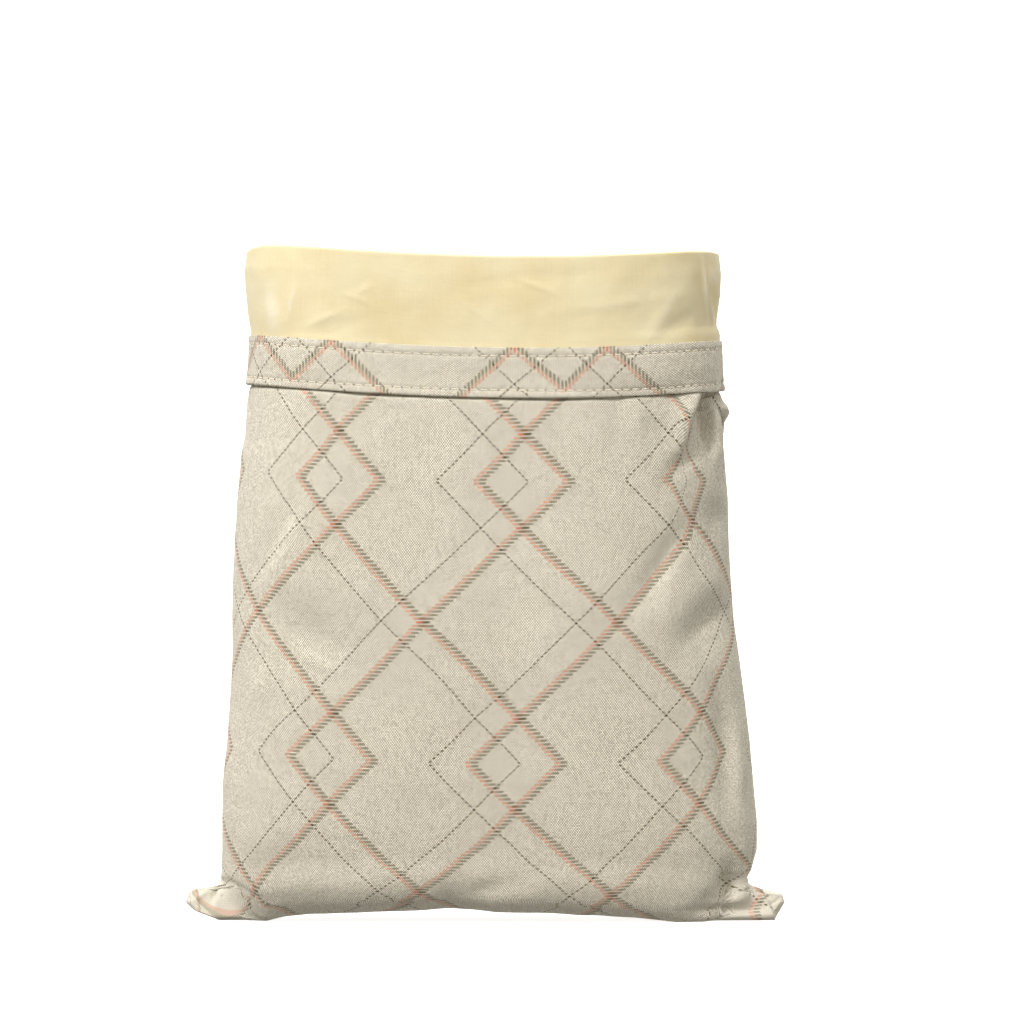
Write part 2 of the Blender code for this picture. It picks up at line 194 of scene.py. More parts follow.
# Soft folds of the filled bag, which the lining follows too. A fold is a ridge, or a trough where its rise is
# negative. Lean turns its top towards +X, in degrees; length and width run to where it has mostly died out.
FOLDS = {
    "front": table(
        Fold,
        (106, 240, 5, 15, 4.6, -4.2),  # pleat under the cuff, right
        (94, 221, 38, 15, 5, -2.2),
        (95.5, 240, 18, 17, 6, 1.6),  # the flap over the pleat
        (107.5, 189, 10, 13, 8, -1.8),
        (84, 172, 37, 32, 7, -2),  # runs down from the pleat
        (106, 147.5, 50, 13, 6, -3.4),  # dimple above the widening
        (88, 147, 0, 12, 9, 1.6),
        (114, 90, -6, 36, 7, -2.2),  # beside the right seam
        (-80, 128, -52, 30, 12, -1.6),  # broad hollow, left
        (-98, 176, -12, 30, 11, 1.2),
        (-30, 95, 12, 45, 22, 1.3),
        (42, 130, -8, 55, 20, 1.2),
        (14, 165, 4, 60, 14, -1),
        (110, 13, 48, 14, 5, -2.4),  # from the right ear
        (-112, 14, -50, 13, 7, -0.5),  # from the left ear
        (-14, 14, 20, 14, 9, -1.4),
        (103, 298, -4, 22, 3.6, -1.3),  # in the cuff
        (-101, 300, 5, 22, 5, -1.1),
    ),
    "back": table(
        Fold,
        (-104, 238, -8, 19, 5, -3.4),
        (-90, 218, -34, 16, 6, -1.8),
        (-94, 150, -46, 20, 8, -2.2),
        (98, 168, 20, 26, 9, -1.8),
        (70, 100, 48, 30, 12, -1.6),
        (-8, 150, -4, 70, 14, -1.2),
        (40, 120, 6, 55, 22, 1.3),
        (-48, 110, -10, 50, 20, 1.2),
        (108, 14, 48, 14, 6, -2),
        (-110, 14, -48, 14, 6, -2),
    ),
}

# Creases that only the linen has, pressed along its own normal.
LINEN_CREASES = {
    "front": table(
        Fold,
        (105.8, 249, -1, 12, 2.1, -7.5),  # the pleat's dark throat
        (106.2, 234, -1, 9, 1.3, -3.4),
        (110.4, 233, -1, 14, 2.2, 2.8),  # the lit ridge beside it
        (109.4, 224.5, 0, 5, 3, 1.2),
        (114.4, 244, -12, 5, 1.3, 2.6),  # a pucker at the right seam
        (110.5, 193.5, -15, 7, 4.4, -2.4),  # below the pleat, right
        (81.5, 167, 27, 17, 4.6, -1.4),
        (88, 160, 30, 11, 6, 0.1),
        (106, 163, 50, 8, 5, 0.7),
        (109.5, 146, 60, 8.5, 4, -2.2),  # dimple and its two fingers
        (106, 136, 50, 13, 9, -2.2),
        (102, 142, 35, 6.5, 3.2, -1.6),
        (113.5, 84, -4, 30, 4.6, -2.2),  # along the right seam
        (121, 72, -4, 15, 3, 1.4),
        (-101, 182, 27, 18, 5, -2),  # a streak on the left
        (-92.5, 181, 27, 18, 4, 0.9),
        (-84, 140, -58, 19, 12, -2.8),  # a hollow with a lip below
        (-82, 125.5, -63, 14, 2.6, 1.3),
        (-107, 112, 8, 10, 6, 1.3),
        (-38, 182, 12, 26, 2, -0.25),
        (62, 243, 0, 16, 4, -0.9),  # from the casing's hem
        (72, 241, -3, 18, 4.5, 0.8),
        (-58, 244, 10, 12, 5, -0.6),
        (4, 17, 76, 17, 5.4, -2),  # along the lower edge
        (115.5, 18, 8, 7.5, 3.8, -6),  # dimple over the right ear
        (121.5, 11.5, 60, 8, 4, 2.4),
        (112.5, 6, 88, 14, 2.3, -3.2),
        (139, 9.5, 57, 5, 0.7, -0.7),
        (-130, 14, 8, 4.2, 1.3, -3.6),  # pocket of the left ear
        (-127, 11, 0, 6, 3.4, 1.8),
        (-135.8, 12.4, 54, 5, 1.2, 1),
    ),
    "back": table(
        Fold,
        (110.5, 243, 18, 6, 1.2, -2),
        (-111, 242, -16, 7, 1.2, -2.2),
        (58, 242, 4, 17, 4, -0.8),
        (-20, 238, -6, 20, 5, -0.7),
        (112, 18, 20, 6, 3.4, -2),
        (-112, 17, -20, 6, 3.4, -2),
        (-134, 10, 50, 8, 1.2, -0.9),
        (135, 9, -50, 8, 1.2, -0.9),
        (18, 96, 64, 36, 3, -0.4),
    ),
}
RELIEF_ENDS, RELIEF_FADES = 248.3, 2.5  # inside the cuff

# Gathers at the side seams under the cuff, pressed straight back.
SEAM_PUCKERS = {
    "front": table(
        Fold,
        (111.5, 242.4, -14, 6, 0.9, -3.4),
        (113, 239, -4, 5.5, 0.7, -2.8),
        (-112.4, 243.5, -6, 5.5, 0.8, -3),
    ),
    "back": table(
        Fold,
        (-110, 241, 10, 6, 1, -2.6),
    ),
}

LinePoint = namedtuple("LinePoint", "height x")

# Laps, where one fold of cloth lies over the next: a curved line in the panel, along which the cloth rises
# from the left and then drops at once, recovering further right.
PLEAT_LINE = table(
    LinePoint,
    (216, 89),
    (222, 92),
    (229.8, 95.2),
    (234.4, 96.8),
    (239.4, 97.8),
    (249, 101.2),
    (258, 104),
)
EAR_LINE = table(
    LinePoint,
    (0.5, 138.5),
    (5, 137.4),
    (10, 135),
    (15, 131.2),
    (19.5, 127),
)
Lap = namedtuple("Lap", "line rise drop rise_width drop_width fade")
LAPS = [
    Lap(PLEAT_LINE, rise=2.0, drop=3.4, rise_width=7.0, drop_width=10.0, fade=12.0),
    Lap(EAR_LINE, rise=0.9, drop=1.7, rise_width=4.0, drop_width=7.0, fade=3.0),
]


def column(rows, level, name):
    """One column of a table of outlines or lifts, read at a level or a place."""
    return np.interp(level, [row[0] for row in rows], [getattr(row, name) for row in rows])


def smooth(value):
    """0 below 0, 1 above 1, and a soft S between."""
    t = np.clip(value, 0.0, 1.0)
    return t * t * (3.0 - 2.0 * t)


def bell(off, width):
    """1 where a distance is 0, dying out on both sides: exp(-(off / width)^2)."""
    return np.exp(-((off / width) ** 2))


def sag(x):
    """Rise of a cuff row above its lowest point: a parabola, steeper on the right."""
    return np.where(x < SAG_LOWEST_X, SAG_LEFT, SAG_RIGHT) * ((x - SAG_LOWEST_X) / SAG_SPAN) ** 2


def fold_rise(folds, x, height):
    """The folds' rises added up: each is a bell across its width times a bell along its length."""
    total = np.zeros_like(x)
    for fold in folds:
        lean = np.radians(fold.lean)
        along = (x - fold.x) * np.sin(lean) + (height - fold.height) * np.cos(lean)
        across = (x - fold.x) * np.cos(lean) - (height - fold.height) * np.sin(lean)
        total += fold.rise * np.exp(-((along / fold.length) ** 2) - (across / fold.width) ** 2)
    return total


def lap_rise(lap, x, height):
    """Rise of a lap: a slope up to its line, a drop of rise + drop over 1 mm, and a slope back."""
    past = x - column(lap.line, height, "x")
    ends = smooth((height - lap.line[0].height) / lap.fade)
    ends = ends * smooth((lap.line[-1].height + lap.fade - height) / lap.fade)
    flap = lap.rise * bell(np.minimum(past, 0.0), lap.rise_width) * smooth(0.5 - past)
    under = -lap.drop * bell(np.maximum(past, 0.0), lap.drop_width) * smooth(past + 0.5)
    return (flap + under) * ends


WAVE_COUNT = 14


def waves(x, height, seed, size):
    """Fine unevenness: a sum of sine waves of seeded directions and phases, near one size, from -1 to 1."""
    chance = np.random.default_rng(seed)
    total = np.zeros_like(x)
    for _ in range(WAVE_COUNT):
        angle, phase = chance.uniform(0, np.pi), chance.uniform(0, 2 * np.pi)
        length = size * chance.uniform(0.7, 1.6)
        across, along = x * np.sin(angle) - height * np.cos(angle), x * np.cos(angle) + height * np.sin(angle)
        drift = 0.6 * np.sin(2 * np.pi * across / (3.1 * length) + phase)
        total += np.sin(2 * np.pi * along / length + phase + drift)
    return total / np.sqrt(WAVE_COUNT) / 1.6


def linen_relief(side, points, level):
    """What the linen alone does off the skin: its creases, unevenness and laps added up.

    It fades at the side seams, and inside the cuff.
    """
    x, out, height = np.moveaxis(points, -1, 0)
    fine = fold_rise(LINEN_CREASES[side], x, height)
    fine = fine + 0.22 * waves(x, height, 5, 34.0) + 0.10 * waves(x, height, 6, 13.0)
    if side == "front":
        for lap in LAPS:
            fine = fine + lap_rise(lap, x, height)
    return fine * smooth((out - 0.3) / 3.0) * (1 - smooth((level - RELIEF_ENDS) / RELIEF_FADES))


def skin(level, turn, side, inset=0.0, corner=None):
    """Points of the skin, in rows of one level: X, distance out from the seam plane, and Z.

    In plan a row is half a rounded rectangle, out = depth * sqrt(1 - share^squareness), where share is the
    distance from the middle over the half-width. Near the base the rows close in on a rounded edge, below the
    neck a flat ear goes on past each end, and the arch under the base, the sag and the folds come on top.
    Inset draws the rows in from every side, and with a corner there are no ears and the corners close in.
    """
    left, right = column(OUTLINES, level, "left"), column(OUTLINES, level, "right")
    above = smooth((level - EAR_TOP + EAR_NECK / 2) / EAR_NECK)
    body_left = -EAR_BODY + (left + EAR_BODY) * above + inset
    body_right = EAR_BODY + (right - EAR_BODY) * above - inset
    if corner is not None:
        left, right = body_left + corner, body_right - corner
    x = (left + right) / 2 + (right - left) / 2 * np.sin(turn)

    climb = np.clip(level / BASE_ROUND, 0.0, 1.0) * np.pi / 2
    out = np.sin(climb) ** (2 / BASE_SQUARENESS)
    rounded = BASE_ROUND * (1 - np.cos(climb) ** (2 / BASE_SQUARENESS))
    body_height = np.where(level < BASE_ROUND, rounded, level)
    middle, half = (body_left + body_right) / 2, (body_right - body_left) / 2
    share = np.clip(np.abs(x - middle) / half, 0.0, 1.0)
    squareness = np.where(x < middle, PLAN_SQUARENESS_LEFT, PLAN_SQUARENESS_RIGHT)
    if side == "back":
        squareness = (PLAN_SQUARENESS_LEFT + PLAN_SQUARENESS_RIGHT) / 2
    above_low = smooth((level - LOW_ENDS) / LOW_FADES)
    squareness = PLAN_SQUARENESS_LOW + (squareness - PLAN_SQUARENESS_LOW) * above_low
    squareness = squareness + CUFF_SQUARER * smooth((level - CUFF_STARTS) / CUFF_FADES)
    depth = (column(OUTLINES, level, "depth") - inset) * out * np.sqrt(1 - share**squareness)

    pressed = np.maximum(body_height - BASE_SINK * (1 - smooth(level / BASE_ROUND)), 0.0)
    at_side = smooth((np.abs(x - middle) - half + SIDE_STRAIGHT) / (SIDE_STRAIGHT - SEAM_WIDE))
    height = pressed + (level - pressed) * at_side
    height = height + inset * np.clip(1 - height / BASE_ROUND, 0.0, 1.0)
    if corner is None:
        past_root = np.clip((np.abs(x) - EAR_ROOT) / EAR_REACH, 0.0, 1.0)
        thickness = EAR_THICK_ROOT + (EAR_THICK_TIP - EAR_THICK_ROOT) * past_root
        thickness = thickness * (EAR_FULL_LOW - EAR_THINS * np.clip(level / EAR_LIES_BACK, 0.0, 1.0))
        to_edge = np.clip(np.minimum(np.minimum(right - x, x - left), level), 0.0, EAR_EDGE)
        rounding = np.sqrt(1 - (1 - to_edge / EAR_EDGE) ** 2)
        ear = thickness * rounding * smooth((EAR_TOP - level) / EAR_NECK)
        fillet = EAR_FILLET * smooth(ear / 3.0)
        depth = (depth + ear + np.sqrt((depth - ear) ** 2 + fillet**2)) / 2

    outward = smooth((out - 0.3) / 0.55)
    lift = column(LIFTS, x, "seam") * (1 - outward) + column(LIFTS, x, side) * outward
    height = height + lift * (1 - smooth(level / LIFT_FADES))
    height = height + sag(x) * smooth((level - SAG_STARTS) / (SAG_WHOLE - SAG_STARTS))
    drop = np.where(x < middle, RIM_CORNER_LEFT, RIM_CORNER_RIGHT) * share**20
    height = height - drop * smooth((level - RIM_CORNER_STARTS) / RIM_CORNER_FADES)
    depth = depth + fold_rise(FOLDS[side], x, height) * smooth((depth - 2.0) / 16.0)
    return np.stack([x, depth, height], axis=-1)


TURN = np.linspace(-np.pi / 2, np.pi / 2, PANEL_COLUMNS)[None, :]  # of the columns round the plan
PROBE = 0.3  # steps of level and of turn for the skin's slope
TURN_PROBE = 0.004


def unit_cross(up, across):
    """Unit normals to both slopes of a grid."""
    normal = np.cross(up, across)
    return normal / np.maximum(np.linalg.norm(normal, axis=-1, keepdims=True), 1e-9)


def skin_and_normals(level, *shape):
    """The skin's points, and its unit normals there, from a small step of level and of turn."""
    up = skin(level + PROBE, TURN, *shape) - skin(np.maximum(level - PROBE, 0.0), TURN, *shape)
    across = skin(level, TURN + TURN_PROBE, *shape) - skin(level, TURN - TURN_PROBE, *shape)
    across[:, 0] = across[:, 0] * [1.0, 0.0, 1.0] + [0.0, 0.6, 0.0]
    across[:, -1] = across[:, -1] * [1.0, 0.0, 1.0] + [0.0, -0.6, 0.0]
    up[:, [0, -1], 1] = 0.0
    normal = unit_cross(up, across)
    normal[np.broadcast_to(level < 0.2, normal.shape[:2])] = (0.0, 0.0, -1.0)
    return skin(level, TURN, *shape), normal


def grid_normals(points):
    """Unit normals of a grid, pointing out of the bag where its rows go up.

    The slopes are central differences. Past each side seam the grid goes on as its own mirror image in the
    seam plane.
    """
    mirror = np.array([1.0, -1.0, 1.0])
    wide = np.concatenate([points[:, 1:2] * mirror, points, points[:, -2:-1] * mirror], axis=1)
    up = np.gradient(points, axis=0)
    up[:, [0, -1], 1] = 0.0
    return unit_cross(up, wide[:, 2:] - wide[:, :-2])


def off_skin(points, normals, offset):
    """The skin's points moved out along its normals, the two sides staying in the seam plane."""
    moved = points + normals * offset[..., None]
    moved[:, [0, -1], 1] = 0.0
    return moved


def step_lengths(points, axis):
    """Distances between neighbours on a grid or a path."""
    return np.linalg.norm(np.diff(points, axis=axis), axis=-1)


def summed(steps, axis):
    """Running totals of steps, from 0."""
    return np.insert(np.cumsum(steps, axis=axis), 0, 0.0, axis=axis)


EAR_FLAT_FROM, EAR_FLAT_WIDE = 106.0, 12.0  # where the cloth of an ear is taken as flat, from the middle
EAR_FLAT_TOP, EAR_FLAT_HIGH = 22.0, 10.0


def cloth_uv(middle, points, zero_row):
    """Places on the flat cloth, in metres: lengths along each row from MID_COLUMN, and up along each column.

    On the zero row the place up the cloth is its height. The ears lie flat, so there the lengths across are
    those of the bare skin's points, with almost no depth, and the place up is the height.
    """
    on_ear = smooth((np.abs(middle[..., 0]) - EAR_FLAT_FROM) / EAR_FLAT_WIDE)
    on_ear = on_ear * smooth((EAR_FLAT_TOP - middle[..., 2]) / EAR_FLAT_HIGH)
    middle = middle + (points * [1.0, 0.1, 1.0] - middle) * on_ear[..., None]
    u = summed(step_lengths(middle, 1), 1)
    u -= u[:, [MID_COLUMN]]
    v = summed(step_lengths(middle[..., 1:], 0), 0)
    v += middle[zero_row, :, 2] - v[zero_row]
    v += (middle[..., 2] - v) * on_ear
    return np.stack([u, v], axis=-1) * MM


def make_sheet(name, middle, thickness, side, uv_maps, mark=None):
    """A closed cloth sheet: two grids half a thickness either side of the middle one, joined at their edges.

    Both faces share the places of each UV map, and the marks that the material reads.
    """
    half = grid_normals(middle) * np.broadcast_to(thickness, middle.shape[:2])[..., None] / 2
    outer, inner = middle + half, middle - half
    for grid in (outer, inner):
        grid[..., 1] = FACING[side] * (np.maximum(grid[..., 1], 0.0) + SEAM_AIR)
        grid[..., 2] = np.maximum(grid[..., 2], 0.0)
    rows, columns = outer.shape[:2]
    index = np.arange(rows * columns).reshape(rows, columns)
    below = index + rows * columns

    def quads(a, b, c, d):
        return np.stack([a.ravel(), b.ravel(), c.ravel(), d.ravel()], axis=-1)

    faces = np.concatenate([
        quads(index[:-1, :-1], index[:-1, 1:], index[1:, 1:], index[1:, :-1]),
        quads(below[:-1, :-1], below[1:, :-1], below[1:, 1:], below[:-1, 1:]),
        quads(index[0, :-1], below[0, :-1], below[0, 1:], index[0, 1:]),
        quads(index[-1, :-1], index[-1, 1:], below[-1, 1:], below[-1, :-1]),
        quads(index[:-1, 0], index[1:, 0], below[1:, 0], below[:-1, 0]),
        quads(index[:-1, -1], below[:-1, -1], below[1:, -1], index[1:, -1]),
    ])
    if side == "back":
        faces = faces[:, ::-1]
    points = np.concatenate([outer.reshape(-1, 3), inner.reshape(-1, 3)]) * MM
    mesh = bpy.data.meshes.new(name)
    mesh.vertices.add(len(points))
    mesh.vertices.foreach_set("co", points.ravel())
    mesh.loops.add(faces.size)
    mesh.loops.foreach_set("vertex_index", faces.ravel())
    mesh.polygons.add(len(faces))
    mesh.polygons.foreach_set("loop_start", np.arange(0, faces.size, 4))
    mesh.update(calc_edges=True)
    mesh.validate()
    for map_name, places in uv_maps.items():
        both = np.concatenate([places.reshape(-1, 2)] * 2)
        mesh.uv_layers.new(name=map_name).data.foreach_set("uv", both[faces.ravel()].ravel())
    if mark is not None:
        marks = mesh.attributes.new("mark", "FLOAT", "POINT")
        marks.data.foreach_set("value", np.concatenate([mark.ravel()] * 2))
    mesh.shade_smooth()
    sheet = add_object(name, mesh)
    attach(sheet, "root")
    return sheet


class Amount:
    """A number that a material works out at each point. An expression on it adds Math nodes."""

    def __init__(self, finish, socket):
        self.finish, self.socket = finish, socket

    def math(self, operation, *values):
        return self.finish.node("ShaderNodeMath", {"operation": operation}, dict(enumerate(values)))

    def __add__(self, other):
        return self.math("ADD", self, other)

    def __radd__(self, other):
        return self.math("ADD", other, self)

    def __sub__(self, other):
        return self.math("SUBTRACT", self, other)

    def __rsub__(self, other):
        return self.math("SUBTRACT", other, self)

    def __mul__(self, other):
        return self.math("MULTIPLY", self, other)

    def __rmul__(self, other):
        return self.math("MULTIPLY", other, self)

    def __truediv__(self, other):
        return self.math("DIVIDE", self, other)

    def __abs__(self):
        return self.math("ABSOLUTE", self)

    def fraction(self):
        return self.math("FRACT", self)

    def floor(self):
        return self.math("FLOOR", self)

    def wrap(self, period):
        """The number brought into half a period either side of 0."""
        return self.math("WRAP", self, period / 2, -period / 2)

    def squared(self):
        return self.math("MULTIPLY", self, self)

    def sine(self):
        return self.math("SINE", self)

    def least(self, other):
        return self.math("MINIMUM", self, other)

    def ramp(self, low, high):
        """0 below low, 1 above high, smooth between."""
        values = {"Value": self, "From Min": low, "From Max": high}
        return self.finish.node("ShaderNodeMapRange", {"interpolation_type": "SMOOTHSTEP"}, values)

    def past(self, edge, blur):
        """0 before an edge and 1 past it, smooth over a blur either side. A negative blur turns it round."""
        return self.ramp(edge - blur, edge + blur)


class Finish:
    """The nodes of a material or of the surround, under construction. One method adds a node to them."""

    def __init__(self, owner, shader="Principled BSDF"):
        owner.use_nodes = True
        self.owner, self.tree = owner, owner.node_tree
        self.shader = self.tree.nodes[shader]

    def node(self, kind, settings, values, output=0):
        """A node of this type: its settings are set first, then each socket's value or link."""
        made = self.tree.nodes.new(kind)
        for name, setting in settings.items():
            setattr(made, name, setting)
        self.feed(made, values)
        return Amount(self, made.outputs[output])

    def feed(self, node, values):
        """Values and links of a node's sockets, by their names or numbers."""
        for name, value in values.items():
            if isinstance(value, Amount):
                self.tree.links.new(value.socket, node.inputs[name])
            else:
                node.inputs[name].default_value = value

    def flat_place(self, uv_map):
        """A place on a UV map, and its two numbers, across and up."""
        place = self.node("ShaderNodeUVMap", {"uv_map": uv_map}, {})
        across = self.node("ShaderNodeSeparateXYZ", {}, {0: place})
        return place, across, Amount(self, across.socket.node.outputs[1])

    def marked(self):
        """The sheet's marks, and 0 on a sheet that has none."""
        return self.node("ShaderNodeAttribute", {"attribute_name": "mark"}, {}, 2)

    def mix(self, amount, first, second, blend="MIX"):
        """Two colours mixed by an amount from 0 to 1."""
        settings = {"data_type": "RGBA", "blend_type": blend}
        return self.node("ShaderNodeMix", settings, {0: amount, 6: first, 7: second}, 2)

    def noise(self, place, scale, detail=2.0, stretch=(1.0, 1.0, 1.0)):
        """Soft noise from 0 to 1, with about `scale` blobs to the metre, stretched along the axes."""
        placed = self.node("ShaderNodeVectorMath", {"operation": "MULTIPLY"}, {0: place, 1: stretch})
        return self.node("ShaderNodeTexNoise", {}, {"Vector": placed, "Scale": scale, "Detail": detail})

    def bump(self, height, strength, distance):
        """The surface's normal, tilted by the slope of a height."""
        return self.node("ShaderNodeBump", {}, {"Height": height, "Strength": strength, "Distance": distance})


def linear(red, green, blue):
    """An everyday 0 to 255 colour as a shader colour."""
    share = np.array([red, green, blue]) / 255.0
    return (*np.where(share <= 0.04045, share / 12.92, ((share + 0.055) / 1.055) ** 2.4), 1.0)


# The cloth's print, a diamond check: two zigzag bands of hatching and a dashed line beside them, mirrored.
WARP_PITCH, WEFT_PITCH = 0.000576, 0.00075  # from one thread to the next, across and up the cloth
REPEAT_ACROSS = 0.0897
REPEAT_UP = 0.1339
TURN_HALF = 0.0218  # half the width of the small diamonds
DASH_SHIFT = 0.0199
HATCH_PITCH = 0.001741  # a 77th of the repeat, near enough
BAND_LEFT, BAND_COLOURS_MEET, BAND_RIGHT = -0.0032, -0.0004, 0.0030
STROKE_HALF = 0.00056
STROKE_TILT = 0.04
STROKE_BLUR, LEFT_BLUR, RIGHT_BLUR = 0.00012, 0.0002, 0.0003  # how softly the inks end
DASH_HALF_LONG, DASH_HALF_HIGH, DASH_TILT = 0.00074, 0.0005, 0.25

LINEN_LIGHT = linear(254, 251, 237)
LINEN_DARK = linear(158, 151, 132)
CALM_TONE = 0.54  # between the two, where the strained weave of the ears blurs
INK_PINK = linear(249, 197, 183)  # the inks tint the cloth that they lie on
INK_OLIVE = linear(163, 160, 141)
INK_BROWN = linear(114, 101, 73)
PINK_BETWEEN = 0.26  # the pink also stains the cloth between its strokes


def linen_finish(name, painted_shade=None):
    """Plain-woven linen: warp and weft threads with slubs, the printed diamonds, and a fibrous bump.

    The sheet's marks calm the weave where it is strained. Painted shade, where given, is laid on the colour
    at the end.
    """
    finish = Finish(bpy.data.materials.new(name))
    place, u, v = finish.flat_place("cloth")

    # The weave: each thread bulges between the ones that cross over it, and each crossing has its own tone at
    # random.
    warp, weft = u / WARP_PITCH, v / WEFT_PITCH
    over = ((warp.floor() + weft.floor()) / 2.0).fraction() * 2.0
    warp_bulge = abs((warp * np.pi).sine())
    weft_bulge = abs((weft * np.pi).sine())
    warp_slub = finish.noise(place, 1.0, 2.0, (1500.0, 110.0, 1.0))
    weft_slub = finish.noise(place, 1.0, 2.0, (110.0, 1500.0, 1.0))
    crossing = finish.node("ShaderNodeCombineXYZ", {}, {0: warp.floor(), 1: weft.floor()})
    shade = finish.node("ShaderNodeTexWhiteNoise", {"noise_dimensions": "2D"}, {"Vector": crossing})
    cloud = finish.noise(place, 14.0)
    height = over * warp_bulge * (0.5 + warp_slub) + (1.0 - over) * weft_bulge * (0.5 + weft_slub)
    rounding = over * warp_bulge + (1.0 - over) * weft_bulge
    # Painted shade and highlight: through the rounding term, each thread is lighter on its crown and darker
    # where it dips between the threads crossing it.
    tone = 0.46 + (over - 0.5) * 0.9 + (rounding - 0.64) * 0.5 + (shade - 0.5) * 0.8
    tone = tone + (warp_slub - 0.5) * 0.4 + (weft_slub - 0.5) * 0.4 + (cloud - 0.5) * 0.12
    tone = tone.ramp(0.0, 0.96)
    calm = finish.marked()
    tone = tone + (CALM_TONE - tone) * calm
    height = height * (1.0 - calm)
    colour = finish.mix(tone, LINEN_DARK, LINEN_LIGHT)

    # The print: which row of hatching this point is in, and how far off each zigzag line the row's middle is.
    down = (0.0 - v / REPEAT_UP).fraction() * (REPEAT_ACROSS + 2 * TURN_HALF)
    slope = (REPEAT_ACROSS + 2 * TURN_HALF) / REPEAT_UP
    thread_shows = (0.82 + (shade - 0.5) * 0.5 + (over - 0.5) * 0.2).least(1.0)
    for way in (1.0, -1.0):
        at = u - way * down + way * TURN_HALF
        band = at.wrap(REPEAT_ACROSS)
        off_row = (((v - STROKE_TILT * band) / HATCH_PITCH).fraction() - 0.5) * HATCH_PITCH
        reach = band - way * slope * off_row
        stroke = abs(off_row).past(STROKE_HALF, -STROKE_BLUR)
        inside = reach.past(BAND_LEFT, LEFT_BLUR) * reach.past(BAND_RIGHT, -RIGHT_BLUR)
        to_olive = reach.past(BAND_COLOURS_MEET, RIGHT_BLUR)
        pink_ink = (PINK_BETWEEN + (1.0 - PINK_BETWEEN) * stroke) * inside * (1.0 - to_olive) * thread_shows
        olive_ink = stroke * inside * to_olive * thread_shows
        line = (at + DASH_SHIFT).wrap(REPEAT_ACROSS)
        off_row = ((v / HATCH_PITCH).fraction() - 0.5) * HATCH_PITCH
        reach = line - way * slope * off_row
        rise = off_row + way * DASH_TILT * reach
        dash = ((reach / DASH_HALF_LONG).squared() + (rise / DASH_HALF_HIGH).squared()).ramp(1.4, 0.6)
        for ink, tint in ((pink_ink, INK_PINK), (olive_ink, INK_OLIVE), (dash * thread_shows, INK_BROWN)):
            colour = finish.mix(ink, colour, tint, "MULTIPLY")
    # Painted shade laid on last, such as that of the casing's needle holes.
    if painted_shade:
        colour = painted_shade(finish, colour)
    finish.feed(finish.shader, {
        "Base Color": colour,
        "Roughness": 0.86 + (tone - 0.5) * 0.08,
        "Specular IOR Level": 0.25,
        "Sheen Weight": 0.12,
        "Sheen Roughness": 0.5,
        "Normal": finish.bump(height, 0.5, 0.00022),
    })
    return finish.owner


BASE_LEVELS = BASE_ROUND * np.linspace(0, 1, 47) ** 1.7
MID_COLUMN = int(np.argmin(np.abs(120.0 * np.sin(TURN[0]) - 18.5)))  # the column that lengths across start at


def rows_up(base, *stops):
    """Levels of the rows up a wall: the base's, then evenly on to each stop, (level, rows on the way)."""
    rows = [base]
    for level, count in stops:
        rows.append(np.linspace(rows[-1][-1], level, count + 1)[1:])
    return np.concatenate(rows)


def over_the_rim(up, inside, centre, radius, rows_round, rows_down):
    """The rows of a panel: up the wall, over the rim by half a circle, and down the cuff.

    Each row has a level, an offset from the skin, and 1 on the way up or 0 after it. All three are columns.
    """
    angle = np.linspace(0, np.pi, rows_round)[1:]
    down = np.linspace(RIM_LEVEL, CUFF_END, rows_down)[1:]
    level = np.concatenate([up, RIM_LEVEL + radius * np.sin(angle), down])
    beyond = np.concatenate([centre - radius * np.cos(angle), np.full(len(down), centre + radius)])
    offset = np.concatenate([np.full(len(up), inside), beyond])
    rising = np.arange(len(level)) < len(up)
    return level[:, None], offset[:, None], rising[:, None].astype(float)


PRINT_LEAN = 0.0385  # the print's columns lean off the cloth's
PRINT_ROW = 210.4  # height of a row of small diamonds
PRINT_COLUMN = 2.6  # of a column of them, from the grid's middle column
LEFT_CURVE, LEFT_CURVE_STARTS = 0.00214, -50.0  # parabolas by which it drifts, and where they start
RIGHT_CURVE, RIGHT_CURVE_STARTS = 0.022, 95.0
EAR_CURVE, EAR_CURVE_STARTS = 0.1, -120.0
TUCK_TAKES = 24.0  # cloth hidden in the pleat under the cuff
TUCK_LOW = 87.5  # where the pleat's line ends below
TUCK_NARROW, TUCK_WIDENS = 1.2, 15.0  # width over which it hides, at the top, and added below
PRINT_FITS = 110.0  # height at which the print's places up the cloth are taken from heights
BACK_PRINT = 31.0  # where the cut falls in the print on the back
EAR_CALM = 0.8  # how far the ears' strained weave blurs
CALM_FROM, CALM_WIDE = 112.0, 10.0
CALM_TOP, CALM_HIGH = 26.0, 8.0
LINEN_ROWS_UP = ((236.0, 104), (252.0, 24), (RIM_LEVEL, 26))  # levels to reach, and rows on the way
LINEN_ROWS_ROUND, LINEN_ROWS_DOWN = 9, 22

